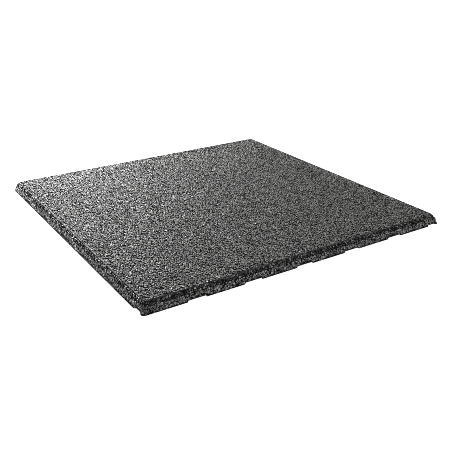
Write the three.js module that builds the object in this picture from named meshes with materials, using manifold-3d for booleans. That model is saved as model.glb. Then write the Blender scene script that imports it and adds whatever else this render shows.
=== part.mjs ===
// Rubber patio tile: one square slab moulded from bonded rubber crumb.
// It lies flat, walking face up. Units are millimetres, +Z is up, and the origin is the middle of
// the underside, on the plane of its feet. Both sets of drainage channels run under the whole
// slab and leave a grid of low square feet between them.
import * as THREE from 'three';
import Module from 'manifold-3d';
import { mergeVertices } from 'three/addons/utils/BufferGeometryUtils.js';

// Slab
const tileSide = 500; // at the foot of the side walls
const tileThickness = 15;
const cornerRadius = 5; // plan radius of the four upright corners

// Edge, from the ground up: a wall with moulding draft, a sloping shoulder, then a small step
// that frames the walking face
const wallHeight = 9.7;
const wallDraft = 2.8; // how far the wall leans in over its height
const shoulderWidth = 3.9; // plan width of the slope
const stepHeight = 0.7; // riser between the shoulder and the walking face
const stepLedge = 0.6; // level ledge at the foot of the riser
const stepDraft = 0.2; // how far the riser leans in

// Underside
const channelPitch = 83.3; // from one channel to the next, both ways
const channelWidth = 27; // at the mouth, on the ground plane
const channelDepth = 3;
const channelFlank = 2; // how far each flank leans in over the depth
const firstFoot = 60.5; // foot before the first channel, measured from the tile's edge
const edgeRim = 5; // rib that stays under the opposite edge, where it cuts the last channel short

// Drawing
const cornerSteps = 8; // straight pieces in each rounded corner
const cutOverrun = 5; // how far a cutter reaches past what it cuts

const rubber = new THREE.MeshStandardMaterial({ color: 0x3a3b3c, roughness: 0.9, metalness: 0 });

// One level outline of the slab, anticlockwise seen from above: a square with round corners.
function outlineAt(inset, height) {
  const cornerCentre = tileSide / 2 - inset - cornerRadius;
  const points = [];
  for (const [index, [sx, sy]] of [[1, 1], [-1, 1], [-1, -1], [1, -1]].entries()) {
    for (let step = 0; step <= cornerSteps; step += 1) {
      const angle = (index + step / cornerSteps) * (Math.PI / 2);
      points.push([
        sx * cornerCentre + cornerRadius * Math.cos(angle),
        sy * cornerCentre + cornerRadius * Math.sin(angle),
        height,
      ]);
    }
  }
  return points;
}

// The edge profile as (inset, height) pairs, from the ground to the walking face.
function edgeProfile() {
  const shoulderTop = tileThickness - stepHeight;
  const ledgeInner = wallDraft + shoulderWidth + stepLedge;
  return [
    [0, 0],
    [wallDraft, wallHeight],
    [wallDraft + shoulderWidth, shoulderTop],
    [ledgeInner, shoulderTop],
    [ledgeInner + stepDraft, tileThickness],
  ];
}

// The uncut slab: the outline carried up the edge profile and closed at both faces.
function slabGeometry() {
  const rings = edgeProfile().map(([inset, height]) => outlineAt(inset, height));
  const count = rings[0].length;
  const indices = [];
  for (let ring = 0; ring < rings.length - 1; ring += 1) {
    for (let i = 0; i < count; i += 1) {
      const a = ring * count + i;
      const b = ring * count + ((i + 1) % count);
      indices.push(a, b, b + count, a, b + count, a + count);
    }
  }
  const topStart = (rings.length - 1) * count;
  for (let i = 1; i < count - 1; i += 1) {
    indices.push(0, i + 1, i);
    indices.push(topStart, topStart + i, topStart + i + 1);
  }
  const geometry = new THREE.BufferGeometry();
  geometry.setAttribute('position', new THREE.Float32BufferAttribute(rings.flat(2), 3));
  geometry.setIndex(indices);
  return geometry;
}

// Where the channels start and end across the tile, measured from the edge with the wide foot.
function channelSpans() {
  const spans = [];
  const lastEnd = tileSide - edgeRim;
  for (let start = firstFoot; start + 2 * channelFlank < lastEnd; start += channelPitch) {
    spans.push([start, Math.min(start + channelWidth, lastEnd)]);
  }
  return spans;
}

// One channel's cutter, running along Y: a flat ceiling between two leaning flanks, open below.
function channelCutter([start, end]) {
  const left = start - tileSide / 2;
  const right = end - tileSide / 2;
  const section = new THREE.Shape([
    new THREE.Vector2(left, -cutOverrun),
    new THREE.Vector2(right, -cutOverrun),
    new THREE.Vector2(right, 0),
    new THREE.Vector2(right - channelFlank, channelDepth),
    new THREE.Vector2(left + channelFlank, channelDepth),
    new THREE.Vector2(left, 0),
  ]);
  const length = tileSide + 2 * cutOverrun;
  const cutter = new THREE.ExtrudeGeometry(section, { depth: length, bevelEnabled: false });
  cutter.rotateX(Math.PI / 2);
  cutter.translate(0, length / 2, 0);
  return cutter;
}

// Boolean cuts
const wasm = await Module();
wasm.setup();

function toSolid(source) {
  const geometry = source.clone();
  geometry.deleteAttribute('normal');
  geometry.deleteAttribute('uv');
  const merged = mergeVertices(geometry, 1e-4);
  return new wasm.Manifold(new wasm.Mesh({
    numProp: 3,
    vertProperties: new Float32Array(merged.attributes.position.array),
    triVerts: new Uint32Array(merged.index.array),
  }));
}

function toGeometry(solid) {
  const mesh = solid.getMesh();
  const geometry = new THREE.BufferGeometry();
  geometry.setAttribute('position', new THREE.Float32BufferAttribute(mesh.vertProperties, 3));
  geometry.setIndex(Array.from(mesh.triVerts));
  geometry.computeVertexNormals();
  return geometry;
}

// The second set of channels is the first one turned a quarter, so that the two wide outer feet
// meet in one corner of the tile and the two thin rims in the opposite corner.
function mouldedSlab() {
  let slab = toSolid(slabGeometry());
  for (const span of channelSpans()) {
    const alongY = channelCutter(span);
    const alongX = alongY.clone().rotateZ(-Math.PI / 2);
    slab = slab.subtract(toSolid(alongY)).subtract(toSolid(alongX));
  }
  return toGeometry(slab);
}

const part = new THREE.Group();
const rubberTile = new THREE.Mesh(mouldedSlab(), rubber);
rubberTile.name = 'rubber_tile';
part.add(rubberTile);

export default part;
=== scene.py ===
"""Looks of the rubber patio tile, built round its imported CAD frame.

The tile is a slab moulded from rubber crumb and binder. Here it is a closed slab body, the bonded
mass between the crumbs, with the crumbs themselves bedded in it on every mould face: the walking
face, the sloping shoulder, the wall, and the feet and channels underneath. Every crumb is clamped
to the mould face that pressed it, so nothing stands out of the CAD box. Units are metres.
"""

import logging
import math
from dataclasses import dataclass
from enum import Enum
from itertools import product

import bpy
import numpy as np
from bpy.types import Material, Node, NodeSocket, NodeTree, Object
from mathutils import Matrix, Vector


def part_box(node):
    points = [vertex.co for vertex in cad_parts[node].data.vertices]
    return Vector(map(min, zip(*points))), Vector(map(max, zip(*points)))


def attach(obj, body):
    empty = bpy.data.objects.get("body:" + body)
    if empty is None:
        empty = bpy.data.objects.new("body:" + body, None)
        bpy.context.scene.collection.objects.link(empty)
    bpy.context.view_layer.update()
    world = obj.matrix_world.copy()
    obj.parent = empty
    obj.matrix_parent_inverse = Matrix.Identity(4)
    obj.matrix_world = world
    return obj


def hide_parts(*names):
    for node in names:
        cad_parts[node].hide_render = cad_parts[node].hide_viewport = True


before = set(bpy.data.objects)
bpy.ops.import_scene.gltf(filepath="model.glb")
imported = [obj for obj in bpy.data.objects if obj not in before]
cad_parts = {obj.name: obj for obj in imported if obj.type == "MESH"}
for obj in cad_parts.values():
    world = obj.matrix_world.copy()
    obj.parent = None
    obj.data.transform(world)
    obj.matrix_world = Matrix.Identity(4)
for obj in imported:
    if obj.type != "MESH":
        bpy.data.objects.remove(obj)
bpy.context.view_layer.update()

LOG = logging.getLogger("rubber_tile")
CAD_NODE = "rubber_tile"
BODY = "root"
MM = 0.001
Array = np.ndarray
Pair = tuple[Array, Array]
# Attributes of a piece, with one value for each crumb or each section of a bead
TONE = "crumb_tone"
ROUGH = "crumb_roughness"
# Metres: a shorter length, a shorter move and a neighbour less far ahead count as none
LEAST_LENGTH = 1e-9
LEAST_MOVE = 1e-7
LEAST_AHEAD = 1e-6
# Distance between the rows of a triangular lattice, in pitches
ROW_SHARE = math.sqrt(0.75)
# Rows of crumbs beyond a sheet's rim, which is also how far a crumb's neighbours are looked for
SPARE = 2


class MouldFace(Enum):
    """The faces of the mould that press crumbs into the tile's surface."""

    WALKING_FACE = "walking_face"
    SHOULDER = "shoulder"
    WALL = "wall"
    UNDERSIDE = "underside"


@dataclass(frozen=True)
class TileMould:
    """The inner faces of the mould, which are the outer faces of the tile.

    The plan is a square with round corners. Its edge rises as a leaning wall, a sloping shoulder
    and a small step. The underside has two crossing sets of channels.
    """

    half_side: float
    thickness: float
    corner_radius: float = 5.0 * MM
    wall_height: float = 9.7 * MM
    wall_draft: float = 2.8 * MM
    shoulder_width: float = 3.9 * MM
    step_height: float = 0.7 * MM
    step_ledge: float = 0.6 * MM
    step_draft: float = 0.2 * MM
    channel_pitch: float = 83.3 * MM
    channel_width: float = 27.0 * MM
    channel_depth: float = 3.0 * MM
    channel_flank: float = 2.0 * MM
    first_foot: float = 60.5 * MM
    edge_rim: float = 5.0 * MM

    @property
    def shoulder_top(self) -> float:
        """Height of the ledge at the foot of the step."""
        return self.thickness - self.step_height

    @property
    def shoulder_inset(self) -> float:
        """Plan inset of the shoulder's upper edge."""
        return self.wall_draft + self.shoulder_width

    @property
    def face_inset(self) -> float:
        """Plan inset of the walking face."""
        return self.shoulder_inset + self.step_ledge + self.step_draft

    @property
    def quarter_length(self) -> float:
        """Length of one straight side and one round corner of the plan outline at the ground."""
        return 2.0 * (self.half_side - self.corner_radius) + math.pi / 2 * self.corner_radius

    def channel_spans(self, widened: float = 0.0) -> Array:
        """Mouths of one set of channels.

        Args:
            widened: How far each mouth is moved outwards at both of its edges.

        Returns:
            An array of (start, end) rows, measured from the middle of the tile.
        """
        last_end = 2.0 * self.half_side - self.edge_rim
        starts = np.arange(self.first_foot, last_end - 2.0 * self.channel_flank, self.channel_pitch)
        ends = np.minimum(starts + self.channel_width, last_end)
        return np.stack([starts - widened, ends + widened], axis=1) - self.half_side

    def channel_edges(self, widened: float = 0.0) -> Array:
        """Where the mouths and the ceilings of one set of channels start and end.

        Args:
            widened: How far each mouth is moved outwards at both of its edges.

        Returns:
            The places, measured from the middle of the tile.
        """
        starts, ends = self.channel_spans(widened).T
        return np.concatenate([starts, starts + self.channel_flank, ends - self.channel_flank, ends])

    def channel_height(self, across: Array, widened: float = 0.0) -> Array:
        """Height of the underside along a line that crosses one set of channels.

        Each channel is a trapezoid: the distance to its nearer mouth edge, times the flank's
        slope, limited to the range from 0 to the channel's depth.

        Args:
            across: Places along the line.
            widened: How far each channel's mouth is widened at both edges.

        Returns:
            The height over the feet at each place.
        """
        spans = self.channel_spans(widened)
        slope = self.channel_depth / self.channel_flank
        inside = np.minimum(across[..., None] - spans[:, 0], spans[:, 1] - across[..., None])
        return np.clip(inside * slope, 0.0, self.channel_depth).max(axis=-1)

    def underside_height(self, x: Array, y: Array, widened: float = 0.0) -> Array:
        """Height of the underside: the higher of the two crossing sets of channels.

        Args:
            x: Places along X.
            y: Places along Y.
            widened: How far each channel's mouth is widened at both edges.

        Returns:
            The height over the feet at each place.
        """
        return np.maximum(self.channel_height(x, widened), self.channel_height(-y, widened))

    def outline(self, along: Array, inset: Array) -> Pair:
        """The plan outline, drawn in by an inset.

        The outline starts at the left end of the front side and runs anticlockwise. A quarter of
        it is a straight side, scaled to the inset square, and then an arc of the corner radius;
        each next quarter is the same one turned by a right angle.

        Args:
            along: Arc length along the uninset outline.
            inset: How far the outline is drawn in, at each place.

        Returns:
            The places and the outward normals, both as arrays of (x, y) rows.
        """
        radius = self.corner_radius
        straight = 2.0 * (self.half_side - radius)
        quarter = np.floor(along / self.quarter_length)
        within = along - quarter * self.quarter_length
        centre = self.half_side - inset - radius
        share = np.clip(within / straight, 0.0, 1.0) * 2.0 - 1.0
        angle = np.maximum(within - straight, 0.0) / radius
        x = share * centre + radius * np.sin(angle)
        y = -(centre + radius * np.cos(angle))
        turn = quarter * (math.pi / 2)
        cos, sin = np.cos(turn), np.sin(turn)
        places = np.stack([x * cos - y * sin, x * sin + y * cos], axis=-1)
        normals = np.stack([np.sin(angle + turn), -np.cos(angle + turn)], axis=-1)
        return places, normals

    def keep_in_outline(self, x: Array, y: Array, inset: float | Array) -> Pair:
        """Moves places that lie outside the inset outline onto it.

        A place is first limited to the square. In a corner it is then drawn towards the corner
        arc's centre until it lies on the arc.

        Args:
            x: Places along X.
            y: Places along Y.
            inset: How far the outline is drawn in, the same everywhere or at each place.

        Returns:
            The moved x and y.
        """
        reach = self.half_side - inset
        centre = reach - self.corner_radius
        x, y = np.clip(x, -reach, reach), np.clip(y, -reach, reach)
        dx = np.maximum(np.abs(x) - centre, 0.0)
        dy = np.maximum(np.abs(y) - centre, 0.0)
        share = np.minimum(self.corner_radius / np.maximum(np.hypot(dx, dy), LEAST_LENGTH), 1.0)
        in_corner = (dx > 0.0) & (dy > 0.0)
        x = np.where(in_corner, np.sign(x) * (centre + dx * share), x)
        y = np.where(in_corner, np.sign(y) * (centre + dy * share), y)
        return x, y


def mesh_object(
    name: str,
    places: Array,
    triangles: Array,
    material: Material,
    attributes: dict[str, Array] | None = None,
) -> Object:
    """Puts whole arrays of places and triangles into a new flat-shaded mesh object.

    Args:
        name: The piece's name.
        places: One (x, y, z) row for each vertex.
        triangles: One row of three vertex numbers for each face.
        material: The finish of the piece.
        attributes: A value for each vertex, by attribute name.

    Returns:
        The object, at the origin, with its place in its mesh.
    """
    mesh = bpy.data.meshes.new(name)
    mesh.vertices.add(len(places))
    mesh.vertices.foreach_set("co", np.ascontiguousarray(places, np.float32).ravel())
    mesh.loops.add(triangles.size)
    mesh.loops.foreach_set("vertex_index", np.ascontiguousarray(triangles, np.int32).ravel())
    mesh.polygons.add(len(triangles))
    mesh.polygons.foreach_set("loop_start", np.arange(0, triangles.size, 3, dtype=np.int32))
    mesh.update(calc_edges=True)
    mesh.validate()
    mesh.shade_flat()
    for key, values in (attributes or {}).items():
        layer = mesh.attributes.new(key, "FLOAT", "POINT")
        layer.data.foreach_set("value", np.ascontiguousarray(values, np.float32))
    mesh.materials.append(material)
    piece = bpy.data.objects.new(name, mesh)
    bpy.context.scene.collection.objects.link(piece)
    return piece


def wired(tree: NodeTree, name: str, inputs: dict[str | int, object] | None = None) -> Node:
    """Finds or adds a node, and sets its inputs.

    Args:
        tree: The nodes of a material or of the room.
        name: The name of a node that is there, or else the type of a new one.
        inputs: For each input, its value or the socket that feeds it.

    Returns:
        The node.
    """
    node = tree.nodes.get(name) or tree.nodes.new(name)
    for key, value in (inputs or {}).items():
        if isinstance(value, NodeSocket):
            tree.links.new(value, node.inputs[key])
        else:
            node.inputs[key].default_value = value
    return node


@dataclass(frozen=True)
class RubberFinish:
    """Black rubber crumb in clear binder: dark torn faces, some worn grey, with a slight gloss.

    The colour runs from the dark one, at the dark tone or less, to the grey one, at the grey tone
    or more. The smear is the noise that mottles the tone, and the grain the one that makes bumps.
    """

    name: str
    dark: float = 0.004
    grey: float = 0.14
    tint: tuple[float, float, float] = (1.0, 1.02, 0.98)
    dark_tone: float = 0.25
    grey_tone: float = 1.0
    smear_share: float = 0.6
    smear_size: float = 0.70 * MM
    smear_layers: float = 2.0
    grain_size: float = 0.35 * MM
    grain_layers: float = 3.0
    grain_height: float = 0.10 * MM
    roughness: float | None = None
    specular_level: float = 0.5

    def build(self) -> Material:
        """Makes the node material.

        The crumb's own tone sets its grey, darkened and lightened by a fine noise. Its roughness
        is its own too, unless the finish has a roughness for the whole piece. A second noise
        gives the torn grain as bump.

        Returns:
            The material.
        """
        material = bpy.data.materials.new(self.name)
        material.use_nodes = True
        tree = material.node_tree
        tone = self.attribute(tree, TONE)
        smear = self.noise(tree, self.smear_size, self.smear_layers)
        mottled = wired(tree, "ShaderNodeMath", {0: smear, 1: self.smear_share, 2: tone})
        mottled.operation = "MULTIPLY_ADD"
        ramp = wired(tree, "ShaderNodeValToRGB", {"Fac": mottled.outputs[0]})
        stops = ((self.dark_tone, self.dark), (self.grey_tone, self.grey))
        for element, (tone_here, level) in zip(ramp.color_ramp.elements, stops):
            element.position = tone_here
            element.color = (*(level * part for part in self.tint), 1.0)
        grain = self.noise(tree, self.grain_size, self.grain_layers)
        bump = wired(tree, "ShaderNodeBump", {"Distance": self.grain_height, "Height": grain})
        wired(tree, "Principled BSDF", {
            "Base Color": ramp.outputs["Color"],
            "Roughness": self.attribute(tree, ROUGH) if self.roughness is None else self.roughness,
            "Specular IOR Level": self.specular_level,
            "Normal": bump.outputs["Normal"],
        })
        return material

    @staticmethod
    def attribute(tree: NodeTree, name: str) -> NodeSocket:
        """Adds a node that reads one of the piece's own attributes.

        Args:
            tree: The material's nodes.
            name: The attribute's name.

        Returns:
            The socket with its value.
        """
        node = tree.nodes.new("ShaderNodeAttribute")
        node.attribute_name = name
        return node.outputs["Fac"]

    @staticmethod
    def noise(tree: NodeTree, size: float, layers: float) -> NodeSocket:
        """Adds a noise on Object coordinates.

        Args:
            tree: The material's nodes.
            size: Length of one feature.
            layers: Finer layers in the noise.

        Returns:
            The socket with its value.
        """
        places = wired(tree, "ShaderNodeTexCoord").outputs["Object"]
        inputs = {"Vector": places, "Scale": 1.0 / size, "Detail": layers}
        return wired(tree, "ShaderNodeTexNoise", inputs).outputs["Fac"]


@dataclass(frozen=True)
class SlabBody:
    """The bonded mass between the crumbs: the tile's shape, drawn in under its surface.

    The wall rows are shares of the wall's height. The edge shares say how much of the sunk depth
    each row loses: those of the wall, the one halfway up the shoulder and the one at its top.
    """

    mould: TileMould
    finish: Material
    sunk: float = 0.9 * MM
    face_sunk: float = 1.5 * MM
    wall_rows: tuple[float, ...] = (0.5, 0.75, 1.0)
    edge_shares: tuple[float, ...] = (0.0, 0.0, 0.3, 0.7, 1.0)
    lump: float = 0.35 * MM
    side_lump: float = 0.175 * MM
    spacing: float = 3.6 * MM
    rim_clearance: float = 1.0 * MM
    seed: int = 11

    def grid_lines(self) -> Array:
        """Places of the grid's lines across the tile, in order.

        Every edge of a channel's mouth and ceiling has its own line, save next to the rim, and
        each stretch between them is divided evenly into pieces no longer than the spacing.

        Returns:
            Places from one side of the body to the other.
        """
        reach = self.mould.half_side - self.sunk
        edges = self.mould.channel_edges(self.sunk)
        edges = edges[np.abs(edges) < reach - self.rim_clearance]
        stops = np.unique(np.concatenate([[-reach], edges, [reach]]))
        counts = np.maximum(1, np.ceil(np.diff(stops) / self.spacing)).astype(int)
        parts = [np.linspace(a, b, n, endpoint=False) for a, b, n in zip(stops[:-1], stops[1:], counts)]
        return np.concatenate(parts + [[reach]])

    def rounded(self, x: Array, y: Array, inset: float) -> Pair:
        """Draws a square grid in and bends it to the tile's round corners.

        In each corner square a place keeps its direction from the arc's centre, and its distance
        becomes the larger of its two coordinates, which turns the square into a quarter disc.

        Args:
            x: Places along X.
            y: Places along Y.
            inset: How far the grid is drawn in.

        Returns:
            The bent x and y.
        """
        reach = self.mould.half_side - self.sunk
        x, y = x * (reach - inset) / reach, y * (reach - inset) / reach
        centre = reach - inset - self.mould.corner_radius
        dx = np.maximum(np.abs(x) - centre, 0.0)
        dy = np.maximum(np.abs(y) - centre, 0.0)
        share = np.maximum(dx, dy) / np.maximum(np.hypot(dx, dy), LEAST_LENGTH)
        in_corner = (dx > 0.0) & (dy > 0.0)
        x = np.where(in_corner, np.sign(x) * (centre + dx * share), x)
        y = np.where(in_corner, np.sign(y) * (centre + dy * share), y)
        return x, y

    def edge_rows(self) -> Array:
        """The edge profile above the wall's foot, as (inset, height) rows, lowered under its surface.

        Returns:
            The rows, from the lower wall to the walking face.
        """
        mould = self.mould
        rows = [(mould.wall_draft * share, mould.wall_height * share) for share in self.wall_rows]
        halfway_up = (mould.wall_height + mould.shoulder_top) / 2.0
        rows.append((mould.wall_draft + mould.shoulder_width / 2.0, halfway_up))
        rows.append((mould.shoulder_inset, mould.shoulder_top))
        rows.append((mould.face_inset, mould.thickness - self.face_sunk))
        profile = np.array(rows)
        profile[:-1, 1] -= self.sunk * np.array(self.edge_shares)
        return profile

    def build(self) -> Object:
        """Makes the closed body.

        The underside and the walking face are the same square grid, bent to the corners, one at
        the height of the feet and channels and one level. Rings of the edge profile join their
        rims. Seeded random lumps sink both faces inside their rims and draw the rings in.

        Returns:
            The piece.
        """
        rng = np.random.default_rng(self.seed)
        lines = self.grid_lines()
        count = len(lines)
        reach = float(lines[-1])
        gx, gy = np.meshgrid(lines, -lines[::-1], indexing="ij")
        foot = self.mould.underside_height(gx, gy, self.sunk) + self.sunk
        rim = np.maximum(np.abs(gx), np.abs(gy)) >= reach - LEAST_LENGTH
        lean = np.where(rim, self.mould.wall_draft * foot / self.mould.wall_height, 0.0)
        bx, by = self.rounded(gx, gy, 0.0)
        drawn_in = 1.0 - lean / reach
        under = np.stack([bx * drawn_in, by * drawn_in, foot], axis=-1)
        under[..., 2] += np.where(rim, 0.0, rng.random(foot.shape) * self.lump)

        rows = self.edge_rows()
        rim_numbers = ring_order(count)
        flat_x, flat_y = gx.ravel()[rim_numbers], gy.ravel()[rim_numbers]
        drawn = 1.0 - rng.random((len(rows), len(rim_numbers))) * self.side_lump / reach
        rings = []
        for (inset, height), drawn_in in zip(rows[:-1], drawn):
            rx, ry = self.rounded(flat_x, flat_y, inset)
            rings.append(np.stack([rx * drawn_in, ry * drawn_in, np.full(len(rx), height)], axis=-1))
        top_inset, top_height = rows[-1]
        tx, ty = self.rounded(gx, gy, top_inset)
        top = np.stack([tx, ty, np.full(tx.shape, top_height)], axis=-1)
        top[..., 2] -= np.where(rim, 0.0, rng.random(tx.shape) * self.lump)

        between = np.concatenate(rings)
        places = np.concatenate([under.reshape(-1, 3), between, top.reshape(-1, 3)])
        top_start = count * count + len(between)
        ring_numbers = count * count + np.arange(len(between)).reshape(len(rings), -1)
        loops = [rim_numbers, *ring_numbers, top_start + rim_numbers]
        strips = [strip_triangles(low, high) for low, high in zip(loops[:-1], loops[1:])]
        face = grid_triangles(count)
        triangles = np.concatenate([face[:, ::-1], *strips, face + top_start])
        return mesh_object("slab_body", places, triangles, self.finish)


def ring_order(count: int) -> Array:
    """Vertex numbers round the rim of a square grid, anticlockwise seen from above.

    Args:
        count: Lines along each side; vertex (i, j) has the number i * count + j.

    Returns:
        The numbers, starting at the corner of lowest x and y.
    """
    numbers = np.arange(count * count).reshape(count, count)
    front, right = numbers[:-1, 0], numbers[-1, :-1]
    back, left = numbers[:0:-1, -1], numbers[0, :0:-1]
    return np.concatenate([front, right, back, left])


def grid_triangles(count: int) -> Array:
    """Triangles of a square grid, which face +Z where i runs along +X and j along +Y.

    Args:
        count: Lines along each side; vertex (i, j) has the number i * count + j.

    Returns:
        One row of three vertex numbers for each triangle.
    """
    i, j = np.meshgrid(np.arange(count - 1), np.arange(count - 1), indexing="ij")
    a = (i * count + j).ravel()
    b, c, d = a + count, a + count + 1, a + 1
    return np.concatenate([np.stack([a, b, c], axis=1), np.stack([a, c, d], axis=1)])


def strip_triangles(low: Array, high: Array) -> Array:
    """Triangles of the closed strip between two rings of as many vertices.

    They face outwards where the rings run anticlockwise and the second one lies higher.

    Args:
        low: Vertex numbers of the lower ring.
        high: Vertex numbers of the upper ring.

    Returns:
        One row of three vertex numbers for each triangle.
    """
    next_low, next_high = np.roll(low, -1), np.roll(high, -1)
    first = np.stack([low, next_low, next_high], axis=1)
    second = np.stack([low, next_high, high], axis=1)
    return np.concatenate([first, second])


@dataclass(frozen=True)
class EdgeBead:
    """A thin solid line of rubber, pressed into one inner edge of the mould all round the tile.

    The section is a row of (inset, height) corners, anticlockwise where the inset runs to the
    right. A bead that follows the channels is lifted over each channel's mouth, along the wall,
    and one that doesn't is also pressed down, by a share of its wobble.
    """

    name: str
    mould: TileMould
    finish: Material
    section: tuple[tuple[float, float], ...]
    on_channels: bool = False
    wobble: float = 0.10 * MM
    down_share: float = 0.5
    tone_skew: float = 5.0
    roughness: tuple[float, float] = (0.55, 0.85)
    spacing: float = 2.0 * MM
    seed: int = 31

    def stations(self) -> Array:
        """Places along the plan outline where the bead has a section.

        They are evenly spaced, with one more at every edge of a channel's mouth and of its
        ceiling, on all four sides.

        Returns:
            Arc lengths along the outline, in order.
        """
        mould = self.mould
        even = np.arange(0.0, 4.0 * mould.quarter_length, self.spacing)
        if not self.on_channels:
            return even
        edges = mould.channel_edges()
        from_start = np.concatenate([edges, -edges]) + mould.half_side - mould.corner_radius
        straight = 2.0 * (mould.half_side - mould.corner_radius)
        from_start = from_start[(from_start > 0.0) & (from_start < straight)]
        sides = [from_start + side * mould.quarter_length for side in range(4)]
        return np.unique(np.concatenate([even, *sides]))

    def build(self) -> Object:
        """Makes the bead as one closed tube round the tile.

        Every section stands square on the outline. Its corners are pressed back by a small seeded
        random amount, so that nothing comes out of the mould. Each section has its own tone and
        roughness, as the crumbs have.

        Returns:
            The piece.
        """
        mould = self.mould
        rng = np.random.default_rng(self.seed)
        along = self.stations()
        insets, heights = (np.array(values) for values in zip(*self.section))
        count, corners = len(along), len(insets)
        lift = np.zeros(count)
        if self.on_channels:
            level, _ = mould.outline(along, np.zeros(count))
            lift = mould.underside_height(level[:, 0], level[:, 1])
        lean = lift * (mould.wall_draft / mould.wall_height)
        inset = insets[None, :] + lean[:, None] + rng.random((count, corners)) * self.wobble
        level, _ = mould.outline(np.repeat(along[:, None], corners, axis=1), inset)
        z = heights[None, :] + lift[:, None]
        if not self.on_channels:
            z = z - rng.random((count, corners)) * self.wobble * self.down_share
        places = np.concatenate([level, z[..., None]], axis=-1).reshape(-1, 3)
        lines = np.arange(count * corners).reshape(count, corners).T
        strips = [strip_triangles(lines[corner - 1], lines[corner]) for corner in range(corners)]
        looks = {
            TONE: np.repeat(rng.random(count) ** self.tone_skew, corners),
            ROUGH: np.repeat(rng.uniform(*self.roughness, count), corners),
        }
        return mesh_object(self.name, places, np.concatenate(strips), self.finish, looks)


@dataclass(frozen=True)
class CrumbGrade:
    """How coarse the crumb of one face is, and how it lies.

    The jitter, the margin and width of the rim, and the longest and shortest reach of a corner
    are in pitches. The trim and the least drop are the least shares of the reach and the edge
    drop that a corner gets. The tilt is a slope, and the middle's shift is in crumb sizes.
    """

    pitch: float
    jitter: float = 0.42
    size_spread: float = 0.20
    rim_margin: float = 0.22
    corners: int = 6
    turn_spread: float = 0.13
    longest: float = 0.85
    shortest: float = 0.16
    shrink: float = 0.86
    trim: float = 0.86
    gap_low: float = 0.0
    gap_high: float = 0.0
    flush_spread: float = 0.08 * MM
    sunk_share: float = 0.40
    sunk_depth: float = 1.0 * MM
    rim_width: float = 1.3
    rim_share: float = 0.5
    rim_wear: float = 0.0
    root_depth: float = 3.0 * MM
    edge_drop: float = 0.38 * MM
    least_drop: float = 0.15
    tilt: float = 0.10
    bulge: float = 0.0
    middle_shift: float = 0.22
    middle_rise: tuple[float, float] = (-0.10 * MM, 0.25 * MM)
    roughness: tuple[float, float] = (0.50, 0.75)
    glint_share: float = 0.0
    glint_roughness: float = 0.15
    tone_skew: float = 1.0


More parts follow.
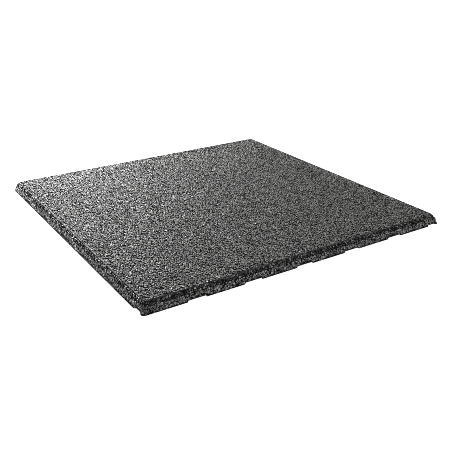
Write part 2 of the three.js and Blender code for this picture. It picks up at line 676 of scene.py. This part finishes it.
@dataclass(frozen=True)
class CrumbSheet:
    """One mould face covered with crumbs.

    A crumb is a small closed solid: a crown of facets round a middle point, and facets that
    narrow down to a root inside the slab body.
    """

    face: MouldFace
    mould: TileMould
    grade: CrumbGrade
    finish: Material
    seed: int
    parts: int = 1

    def lattice(self) -> tuple[Array, Array, float]:
        """Crumb centres on the flat sheet before they are pushed about.

        The centres stand on a triangular lattice, in rows a root of three quarters of the pitch
        apart. Round the edge, the pitch is changed a little so that the rows close on themselves.

        Returns:
            The two coordinates as 2-D arrays, and the length after which the first coordinate
            repeats, or 0 where it doesn't.
        """
        pitch = self.grade.pitch
        if self.face in (MouldFace.WALKING_FACE, MouldFace.UNDERSIDE):
            reach = self.mould.half_side + SPARE * pitch
            u = np.arange(-reach, reach, pitch)
            v = np.arange(-reach, reach, pitch * ROW_SHARE)
            repeat = 0.0
        else:
            repeat = 4.0 * self.mould.quarter_length
            columns = round(repeat / pitch)
            u = np.arange(columns) * (repeat / columns)
            low, high = self.band()
            rows = max(1, round((high - low) / (pitch * ROW_SHARE)))
            step = (high - low) / rows
            v = low + (np.arange(-SPARE, rows + SPARE) + 0.5) * step
        uu, vv = np.meshgrid(u, v, indexing="ij")
        uu = uu + pitch / 2.0 * (np.arange(len(v)) % 2)[None, :]
        return uu, vv, repeat

    def band(self) -> tuple[float, float]:
        """The second coordinate's range on the wall or the shoulder, along the slope.

        Returns:
            Where the crumbs' band starts and ends.
        """
        mould = self.mould
        if self.face is MouldFace.WALL:
            length = math.hypot(mould.wall_draft, mould.wall_height)
        else:
            length = math.hypot(mould.shoulder_width, mould.shoulder_top - mould.wall_height)
        return self.grade.gap_low, length - self.grade.gap_high

    def keep(self, u: Array, v: Array) -> Pair:
        """Moves places onto the sheet's own area: the outline of a face, or the band of an edge.

        Args:
            u: First coordinates.
            v: Second coordinates.

        Returns:
            The moved coordinates.
        """
        mould = self.mould
        if self.face is MouldFace.WALKING_FACE:
            return mould.keep_in_outline(u, v, mould.face_inset + self.grade.gap_low)
        if self.face is MouldFace.UNDERSIDE:
            lean = mould.wall_draft * mould.underside_height(u, v) / mould.wall_height
            return mould.keep_in_outline(u, v, lean)
        low, high = self.band()
        if self.face is MouldFace.WALL:
            places, _ = mould.outline(u, np.zeros_like(u))
            climb = math.hypot(mould.wall_draft, mould.wall_height) / mould.wall_height
            low = np.maximum(low, mould.underside_height(places[..., 0], places[..., 1]) * climb)
        return u, np.clip(v, low, high)

    def inside(self, u: Array, v: Array, margin: float) -> Array:
        """Whether each place lies on the sheet, at least a margin from its rim.

        Args:
            u: First coordinates.
            v: Second coordinates.
            margin: The least distance from the rim.

        Returns:
            True or False for each place.
        """
        good = np.ones(u.shape, bool)
        for du, dv in ((margin, 0.0), (-margin, 0.0), (0.0, margin), (0.0, -margin)):
            ku, kv = self.keep(u + du, v + dv)
            good &= np.hypot(ku - u - du, kv - v - dv) < LEAST_MOVE
        return good

    def place(self, u: Array, v: Array, depth: Array) -> Array:
        """Carries sheet coordinates onto the mould face.

        The walking face and the underside are read as x and y, with the depth measured down from
        the one or up from the other. On the wall and the shoulder, the first coordinate runs
        along the plan outline and the second up the slope, with the depth along the normal, and
        whatever would come out under the ground plane stays on it.

        Args:
            u: First coordinates.
            v: Second coordinates.
            depth: Depth under the mould face.

        Returns:
            One (x, y, z) for each place.
        """
        mould = self.mould
        if self.face is MouldFace.WALKING_FACE:
            return np.stack([u, v, mould.thickness - depth], axis=-1)
        if self.face is MouldFace.UNDERSIDE:
            return np.stack([u, v, mould.underside_height(u, v) + depth], axis=-1)
        if self.face is MouldFace.WALL:
            inset, height = 0.0, 0.0
            run, rise = mould.wall_draft, mould.wall_height
        else:
            inset, height = mould.wall_draft, mould.wall_height
            run, rise = mould.shoulder_width, mould.shoulder_top - mould.wall_height
        slope = math.hypot(run, rise)
        level, outward = mould.outline(u, inset + v * (run / slope))
        xy = level - outward * (depth * (rise / slope))[..., None]
        z = np.maximum(height + v * (rise / slope) - depth * (run / slope), 0.0)
        return np.concatenate([xy, z[..., None]], axis=-1)

    def crumbs(self) -> tuple[Array, Array, Array, Array, np.random.Generator]:
        """Works out the crumb outlines on the flat sheet.

        Each centre is pushed off the lattice at random. In each of a crumb's directions, its
        reach is the least, over its neighbours, of the distance to the line between the two:
        half the squared gap, moved by the difference of their weights, over the gap's length in
        that direction. That is the outline of a weighted nearest-centre cell.

        Returns:
            Centres (n, 2), corner offsets (n, corners, 2), corner reaches (n, corners), a size
            for each crumb, and the random generator, for the next draws.
        """
        grade = self.grade
        rng = np.random.default_rng(self.seed)
        u, v, repeat = self.lattice()
        push = rng.random(u.shape) ** 0.5 * grade.jitter * grade.pitch
        way = rng.random(u.shape) * 2.0 * math.pi
        u, v = u + push * np.cos(way), v + push * np.sin(way)
        weight = rng.normal(0.0, grade.size_spread, u.shape) * grade.pitch**2
        good = self.inside(u, v, grade.rim_margin * grade.pitch)

        turn = rng.random(u.shape)
        wobble = rng.normal(0.0, grade.turn_spread, u.shape + (grade.corners,))
        angle = (np.arange(grade.corners) + turn[..., None] + wobble) * (2.0 * math.pi / grade.corners)
        ways = np.stack([np.cos(angle), np.sin(angle)], axis=-1)
        reach = np.full(angle.shape, grade.longest * grade.pitch)
        for step in product(range(-SPARE, SPARE + 1), repeat=2):
            if step == (0, 0):
                continue
            gap_u = np.roll(u, step, (0, 1)) - u
            gap_v = np.roll(v, step, (0, 1)) - v
            if repeat:
                gap_u = gap_u - np.round(gap_u / repeat) * repeat
            other = np.roll(weight, step, (0, 1))
            there = np.roll(good, step, (0, 1))
            ahead = ways[..., 0] * gap_u[..., None] + ways[..., 1] * gap_v[..., None]
            moved = gap_u**2 + gap_v**2 + weight - other
            border = moved[..., None] / (2.0 * np.maximum(ahead, LEAST_AHEAD))
            border = np.where((ahead > LEAST_AHEAD) & there[..., None], border, np.inf)
            reach = np.minimum(reach, border)
        reach = np.maximum(reach, grade.shortest * grade.pitch) * grade.shrink
        centres = np.stack([u[good], v[good]], axis=-1)
        reach = reach[good] * rng.uniform(grade.trim, 1.0, reach[good].shape)
        offsets = ways[good] * reach[..., None]
        return centres, offsets, reach, reach.mean(axis=1), rng

    def build(self) -> list[Object]:
        """Makes the sheet's crumbs as one or more joined meshes.

        A crumb lies at a random depth, most of them nearly flush with the mould. Its corners drop
        by a random share of the edge drop, and the whole crown leans by a random slope. Whatever
        would stand out of the mould face is pressed flat against it.

        Returns:
            The pieces.
        """
        grade = self.grade
        centres, offsets, reach, size, rng = self.crumbs()
        count = len(centres)
        sunk = np.abs(rng.normal(0.0, grade.flush_spread, count))
        sunk += (rng.random(count) < grade.sunk_share) * rng.random(count) * grade.sunk_depth
        at_rim = ~self.inside(centres[:, 0], centres[:, 1], grade.rim_width * grade.pitch)
        sunk += (at_rim & (rng.random(count) < grade.rim_share)) * rng.random(count) * grade.rim_wear
        lean = rng.normal(0.0, grade.tilt, (count, 2))
        if grade.bulge:
            low, high = self.band()
            lean[:, 1] -= grade.bulge * (2.0 * (centres[:, 1] - low) / (high - low) - 1.0)
        drop = rng.uniform(grade.least_drop, 1.0, reach.shape) * grade.edge_drop
        corner_depth = sunk[:, None] + drop - np.einsum("nkc,nc->nk", offsets, lean)
        middle = centres + rng.normal(0.0, grade.middle_shift, (count, 2)) * size[:, None]
        middle_depth = sunk - rng.uniform(*grade.middle_rise, count)

        corner_u, corner_v = self.keep(
            centres[:, 0, None] + offsets[..., 0], centres[:, 1, None] + offsets[..., 1]
        )
        corners = self.place(corner_u, corner_v, np.maximum(corner_depth, 0.0))
        middle_u, middle_v = self.keep(middle[:, 0], middle[:, 1])
        crown = self.place(middle_u, middle_v, np.maximum(middle_depth, 0.0))
        root = self.place(centres[:, 0], centres[:, 1], np.full(count, grade.root_depth))

        pattern = crumb_triangles(grade.corners)
        if self.face is MouldFace.UNDERSIDE:
            pattern = pattern[:, ::-1]
        tone = rng.random(count) ** grade.tone_skew
        rough = rng.uniform(*grade.roughness, count)
        rough = np.where(rng.random(count) < grade.glint_share, grade.glint_roughness, rough)
        solids = np.concatenate([corners, crown[:, None], root[:, None]], axis=1)
        per_crumb = solids.shape[1]
        order = np.argsort(centres[:, 0], kind="stable")
        pieces = []
        for index, chosen in enumerate(np.array_split(order, self.parts)):
            triangles = pattern[None] + (np.arange(len(chosen)) * per_crumb)[:, None, None]
            name = f"{self.face.value}_crumb" + (f"_{index + 1}" if self.parts > 1 else "")
            piece = mesh_object(
                name,
                solids[chosen].reshape(-1, 3),
                triangles.reshape(-1, 3),
                self.finish,
                {TONE: np.repeat(tone[chosen], per_crumb), ROUGH: np.repeat(rough[chosen], per_crumb)},
            )
            pieces.append(piece)
        return pieces


def crumb_triangles(corners: int) -> Array:
    """Triangles of one crumb: crown facets round its middle, then facets down to its root.

    Args:
        corners: Corners of the crown, numbered first; the middle and the root come after them.

    Returns:
        One row of three vertex numbers for each triangle.
    """
    ring = np.arange(corners)
    after = (ring + 1) % corners
    crown = np.stack([np.full(corners, corners), ring, after], axis=1)
    sides = np.stack([np.full(corners, corners + 1), after, ring], axis=1)
    return np.concatenate([crown, sides])


def direction(azimuth: float, elevation: float) -> Vector:
    """The unit vector from the tile's origin towards a place round it.

    Args:
        azimuth: Degrees clockwise from +Y, seen from above.
        elevation: Degrees above the floor.

    Returns:
        The azimuth's sine and cosine, times the elevation's cosine, and the elevation's sine.
    """
    azimuth, elevation = math.radians(azimuth), math.radians(elevation)
    level = math.cos(elevation)
    return Vector((math.sin(azimuth) * level, math.cos(azimuth) * level, math.sin(elevation)))


@dataclass(frozen=True)
class PhotoCamera:
    """The camera at the photograph's viewpoint, from a fit to the tile's corners and edges."""

    image_px: float = 454.0
    focal_px: float = 672.3
    sensor: float = 36.0
    near: float = 0.01
    azimuth: float = 212.69
    elevation: float = 23.72
    roll: float = 0.13
    distance: float = 1.0936
    tile_centre_px: tuple[float, float] = (212.90, 205.50)

    def build(self) -> None:
        """Makes the camera and sets it as the scene's.

        It looks along the direction to the tile, rolled about it, and is moved sideways so that
        the tile's origin comes at its pixel of the image.
        """
        roll = math.radians(self.roll)
        back = direction(self.azimuth, self.elevation)
        right = Vector((0.0, 0.0, 1.0)).cross(back).normalized()
        up = back.cross(right)
        rolled_right = math.cos(roll) * right - math.sin(roll) * up
        rolled_up = math.sin(roll) * right + math.cos(roll) * up
        middle = self.image_px / 2.0
        offset_x = (self.tile_centre_px[0] - middle) * self.distance / self.focal_px
        offset_y = -(self.tile_centre_px[1] - middle) * self.distance / self.focal_px
        place = self.distance * back - offset_x * rolled_right - offset_y * rolled_up

        data = bpy.data.cameras.new("photo_camera")
        data.sensor_width = self.sensor
        data.lens = self.focal_px / self.image_px * self.sensor
        data.clip_start = self.near
        camera = bpy.data.objects.new("photo_camera", data)
        axes = Matrix((rolled_right, rolled_up, back)).transposed()
        camera.matrix_world = Matrix.Translation(place) @ axes.to_4x4()
        bpy.context.scene.collection.objects.link(camera)
        bpy.context.scene.camera = camera


@dataclass(frozen=True)
class SoftBox:
    """One soft rectangular light that faces the tile, placed in degrees and metres."""

    name: str
    azimuth: float
    elevation: float
    distance: float
    width: float
    height: float
    radiance: float

    def build(self) -> None:
        """Makes the light, with the power that its radiance gives: times its area and pi."""
        data = bpy.data.lights.new(self.name, "AREA")
        data.shape = "RECTANGLE"
        data.size = self.width
        data.size_y = self.height
        data.energy = self.radiance * self.width * self.height * math.pi
        light = bpy.data.objects.new(self.name, data)
        towards = direction(self.azimuth, self.elevation)
        light.location = towards * self.distance
        light.rotation_euler = towards.to_track_quat("Z", "Y").to_euler()
        light.visible_camera = False
        bpy.context.scene.collection.objects.link(light)


@dataclass(frozen=True)
class Studio:
    """The plain pale floor, the soft lights and the dim room round them."""

    floor_half: float = 6.0
    floor_drop: float = 0.3 * MM
    floor_albedo: float = 0.25
    floor_roughness: float = 0.9
    floor_glow: float = 0.97
    open_inset: float = 10.5 * MM
    lit_rim: float = 3.6 * MM
    lit_corner: float = 24.0 * MM
    painted_shade_width: float = 14.0 * MM
    room_low: float = 0.07
    room_high: float = 0.26
    room_climb: tuple[float, float] = (0.35, 0.95)
    backdrop: float = 1.0
    filter_px: float = 0.9
    boxes: tuple[SoftBox, ...] = (
        SoftBox("back_soft_box", 4.0, 17.0, 1.2, 0.6, 0.3, 76.0),
        SoftBox("left_strip", -29.0, 5.0, 2.0, 0.8, 0.27, 41.0),
        SoftBox("front_right_soft_box", 160.0, 38.0, 2.1, 0.22, 0.22, 125.0),
        SoftBox("overhead_soft_box", -150.0, 72.0, 2.2, 1.6, 1.6, 3.4),
        SoftBox("underside_soft_box", 120.0, -35.0, 2.0, 0.9, 0.9, 26.0),
    )

    def floor_frame(
        self, name: str, outer: list[tuple], inner: list[tuple], height: float, seen_glow: float
    ) -> None:
        """Makes one level frame of pale floor, lit from within, and clear from below.

        Args:
            name: The frame's name.
            outer: Corners (x, y) of its outer outline, anticlockwise.
            inner: Corners of its inner outline, as many.
            height: Its height.
            seen_glow: Strength of its own light as the camera sees it. The light that it throws
                on the tile is the floor's in any case.
        """
        count = len(outer)
        corners = [(x, y, height) for x, y in outer + inner]
        faces = [(k, (k + 1) % count, (k + 1) % count + count, k + count) for k in range(count)]
        mesh = bpy.data.meshes.new(name)
        mesh.from_pydata(corners, [], faces)
        frame_object = bpy.data.objects.new(name, mesh)
        bpy.context.scene.collection.objects.link(frame_object)
        material = bpy.data.materials.new(name)
        material.use_nodes = True
        tree = material.node_tree
        seen = wired(tree, "ShaderNodeLightPath").outputs["Is Camera Ray"]
        glows = {0: seen, 1: seen_glow - self.floor_glow, 2: self.floor_glow}
        strength = wired(tree, "ShaderNodeMath", glows)
        strength.operation = "MULTIPLY_ADD"
        pale = wired(tree, "Principled BSDF", {
            "Base Color": (self.floor_albedo,) * 3 + (1.0,),
            "Roughness": self.floor_roughness,
            "Specular IOR Level": 0.0,
            "Emission Strength": strength.outputs[0],
        }).outputs["BSDF"]
        clear = wired(tree, "ShaderNodeBsdfTransparent").outputs["BSDF"]
        below = wired(tree, "ShaderNodeNewGeometry").outputs["Backfacing"]
        mix = wired(tree, "ShaderNodeMixShader", {"Fac": below, 1: pale, 2: clear})
        wired(tree, "Material Output", {"Surface": mix.outputs["Shader"]})
        mesh.materials.append(material)

    def build_floor(self, tile_half: float) -> None:
        """Makes the floor, a light table, and the frame of it that looks dark under the tile.

        The floor is open under the middle of the tile, where only a view from below sees, so
        that the light from below gets at the feet and channels. The dark frame is painted shade,
        dark to the camera only. It starts a little way in under every side but the left one, where
        it comes out to the tile's edge, save near the front corner. Its inner outline is the outer
        one, drawn in.

        Args:
            tile_half: Half the side of the tile.
        """
        ways = ((-1.0, -1.0), (1.0, -1.0), (1.0, 1.0), (-1.0, 1.0))
        open_half = tile_half - self.open_inset
        outer = [(x * self.floor_half, y * self.floor_half) for x, y in ways]
        inner = [(x * open_half, y * open_half) for x, y in ways]
        self.floor_frame("floor", outer, inner, -self.floor_drop, self.floor_glow)

        # The frame is painted shade: dark to the camera, while the light that it throws on the tile is
        # the floor's.
        lit, cut = tile_half - self.lit_rim, self.lit_corner - tile_half
        outer = [(cut, -lit), (lit, -lit), (lit, lit), (-tile_half, lit), (-tile_half, cut)]
        size = 1.0 - self.painted_shade_width / tile_half
        inner = [(x * size, y * size) for x, y in outer]
        self.floor_frame("painted_shade_floor", outer, inner, -self.floor_drop / 2.0, 0.0)

    def build_room(self) -> None:
        """Makes the room light: dim near the horizon, brighter overhead, and pale to look at."""
        world = bpy.data.worlds.new("room")
        world.use_nodes = True
        tree = world.node_tree
        way = wired(tree, "ShaderNodeTexCoord").outputs["Generated"]
        split = wired(tree, "ShaderNodeSeparateXYZ", {"Vector": way})
        climb = wired(tree, "ShaderNodeMapRange", {
            "Value": split.outputs["Z"],
            "From Min": self.room_climb[0],
            "From Max": self.room_climb[1],
            "To Min": self.room_low,
            "To Max": self.room_high,
        })
        climb.interpolation_type = "SMOOTHSTEP"
        seen = wired(tree, "ShaderNodeLightPath").outputs["Is Camera Ray"]
        levels = {"Factor": seen, "A": climb.outputs["Result"], "B": self.backdrop}
        strength = wired(tree, "ShaderNodeMix", levels).outputs["Result"]
        wired(tree, "Background", {"Color": (1.0, 1.0, 1.0, 1.0), "Strength": strength})
        bpy.context.scene.world = world

    def build(self, tile_half: float) -> None:
        """Makes the floor, the room and every light, and sets plain colours and a crisp picture.

        Args:
            tile_half: Half the side of the tile.
        """
        self.build_floor(tile_half)
        self.build_room()
        for box in self.boxes:
            box.build()
        scene = bpy.context.scene
        scene.view_settings.view_transform = "Standard"
        scene.cycles.use_denoising = False
        scene.cycles.filter_width = self.filter_px


def tile_mould() -> TileMould:
    """Reads the tile's side and thickness from the CAD frame.

    Returns:
        The mould that presses a tile of that size.
    """
    low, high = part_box(CAD_NODE)
    return TileMould(half_side=float(high[0] - low[0]) / 2.0, thickness=float(high[2] - low[2]))


def edge_beads(mould: TileMould, fines_and_step_shade: Material, mass: Material) -> tuple[EdgeBead, ...]:
    """The beads along the walking face's edge and the wall's foot.

    The first one makes the step and the rim of the walking face, with a worn edge, and reaches
    below the ledge; its near-black finish is painted shade in the step's crease. The second one
    fills the corner between the wall and the ground, and its near-black finish is painted shadow
    along the wall's foot.

    Args:
        mould: The mould.
        fines_and_step_shade: The finish of the first bead.
        mass: The finish of the second one.

    Returns:
        The two beads.
    """
    face, top = mould.face_inset, mould.thickness
    riser, ledge = face - mould.step_draft, mould.shoulder_top
    inner, root = face + 0.9 * MM, ledge - 1.2 * MM
    worn = 0.22 * MM
    foot_width, foot_rise = 2.2 * MM, 1.7 * MM
    foot_lean = foot_rise * (mould.wall_draft / mould.wall_height)
    return (
        EdgeBead(
            "walking_face_step_shade_bead",
            mould,
            fines_and_step_shade,
            ((riser, root), (inner, root), (inner, top), (face, top - worn), (riser, ledge)),
            wobble=0.45 * MM,
        ),
        # Near-black fillet at the wall's foot: painted contact shadow along the ground.
        EdgeBead(
            "wall_foot_shadow_bead",
            mould,
            mass,
            ((0.0, 0.0), (foot_width, 0.0), (foot_width, foot_rise), (foot_lean, foot_rise)),
            on_channels=True,
            seed=33,
        ),
    )


def main() -> None:
    """Builds the camera, the tile's pieces and the studio, in that order."""
    logging.basicConfig(level=logging.INFO, format="%(name)s: %(message)s")
    PhotoCamera().build()
    mould = tile_mould()
    crumb = RubberFinish("rubber_crumb").build()
    # Black binder, darkened to near black: painted shade in the gaps between the crumbs, and a painted
    # contact shadow on the bead at the wall's foot.
    mass = RubberFinish("bonded_mass_and_painted_shade", dark=0.001, grey=0.003, roughness=0.9, specular_level=0.1).build()
    # Black rubber, darkened further as painted shade in the crease of the step round the walking face.
    fines_and_step_shade = RubberFinish("bonded_fines_and_step_shade", dark=0.001, grey=0.06, specular_level=0.3).build()
    # Darker on the whole than the walking face's crumb: painted shade on the shoulder, over a crumb tone
    # that differs at random.
    shoulder_crumb = RubberFinish("shoulder_crumb", dark=0.001, grey=0.15, specular_level=0.2).build()
    wall_crumb = RubberFinish("wall_crumb", dark=0.002, grey=0.17, specular_level=0.9).build()

    body = SlabBody(mould, mass).build()
    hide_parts(CAD_NODE)
    pieces = [body] + [bead.build() for bead in edge_beads(mould, fines_and_step_shade, mass)]
    walking_grade = CrumbGrade(
        3.0 * MM, tilt=0.085, gap_low=0.4 * MM,
        roughness=(0.60, 0.80), glint_share=0.01, rim_wear=1.2 * MM,
    )
    # Its tone skew leaves most of the shoulder's crumbs dark: painted shade on the shoulder.
    shoulder_grade = CrumbGrade(
        2.8 * MM, edge_drop=0.6 * MM, tilt=0.13, gap_low=0.2 * MM,
        roughness=(0.15, 0.38), glint_share=0.16, tone_skew=4.0, bulge=0.14,
    )
    wall_grade = CrumbGrade(
        2.8 * MM, shrink=0.93, edge_drop=0.5 * MM, tilt=0.19, sunk_depth=0.9 * MM,
        gap_low=0.4 * MM, gap_high=0.3 * MM, roughness=(0.30, 0.56), tone_skew=3.0,
    )
    underside_grade = CrumbGrade(
        3.9 * MM, shrink=0.92, edge_drop=0.5 * MM, tilt=0.14, sunk_depth=0.5 * MM,
    )
    sheets = (
        CrumbSheet(MouldFace.WALKING_FACE, mould, walking_grade, crumb, seed=21, parts=2),
        CrumbSheet(MouldFace.SHOULDER, mould, shoulder_grade, shoulder_crumb, seed=22),
        CrumbSheet(MouldFace.WALL, mould, wall_grade, wall_crumb, seed=23),
        CrumbSheet(MouldFace.UNDERSIDE, mould, underside_grade, crumb, seed=24, parts=2),
    )
    for sheet in sheets:
        pieces.extend(sheet.build())
    for piece in pieces:
        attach(piece, BODY)
        mesh = piece.data
        LOG.info("%s: %d vertices, %d triangles", piece.name, len(mesh.vertices), len(mesh.polygons))
    Studio().build(mould.half_side)


if __name__ == "__main__":
    main()
